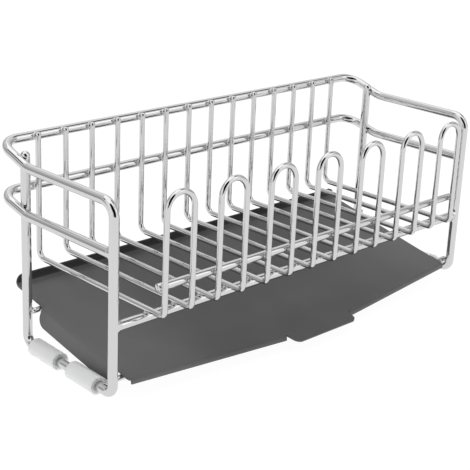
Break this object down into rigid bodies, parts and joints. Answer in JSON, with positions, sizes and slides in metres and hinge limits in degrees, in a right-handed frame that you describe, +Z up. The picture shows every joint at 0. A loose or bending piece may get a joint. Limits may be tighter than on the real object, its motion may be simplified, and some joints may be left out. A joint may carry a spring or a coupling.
{
  "type": "kitchen sink caddy",
  "caption": "Welded wire caddy for a kitchen sink, with a bent top rail, hairpin basket wires, plastic foot sleeves and a loose sloping drip tray with a front spout.",
  "frame": {"origin": "on the table, midway between the four legs, under the middle of the basket", "axes": "+Z up, +X along the length to the right as seen from the front, -Y towards the tray's spout"},
  "size_m": [0.2724, 0.112, 0.1098],
  "materials": {
    "polished_wire": "electropolished stainless steel wire, bright",
    "foot_plastic": "soft, slightly translucent off-white plastic",
    "tray_coating": "matte dark grey coating on sheet steel"
  },
  "bodies": {
    "rack": {"main_frame_wire": "polished_wire", "middle_rail": "polished_wire", "front_bottom_rail": "polished_wire", "front_tie_rail": "polished_wire", "front_tray_rod": "polished_wire", "rear_tray_rod": "polished_wire", "hairpin_wire_1": "polished_wire", "hairpin_wire_2": "polished_wire", "hairpin_wire_3": "polished_wire", "hairpin_wire_4": "polished_wire", "hairpin_wire_5": "polished_wire", "hairpin_wire_6": "polished_wire", "hairpin_wire_7": "polished_wire", "left_front_foot_sleeve": "foot_plastic", "left_rear_foot_sleeve": "foot_plastic", "right_front_foot_sleeve": "foot_plastic", "right_rear_foot_sleeve": "foot_plastic"},
    "tray": {"drip_tray": "tray_coating"}
  },
  "joints": [
    {"name": "tray_lift", "type": "slide", "parent": "rack", "child": "tray", "axis": [0, 0, 1], "range_m": [0, 0.0126]}
  ]
}
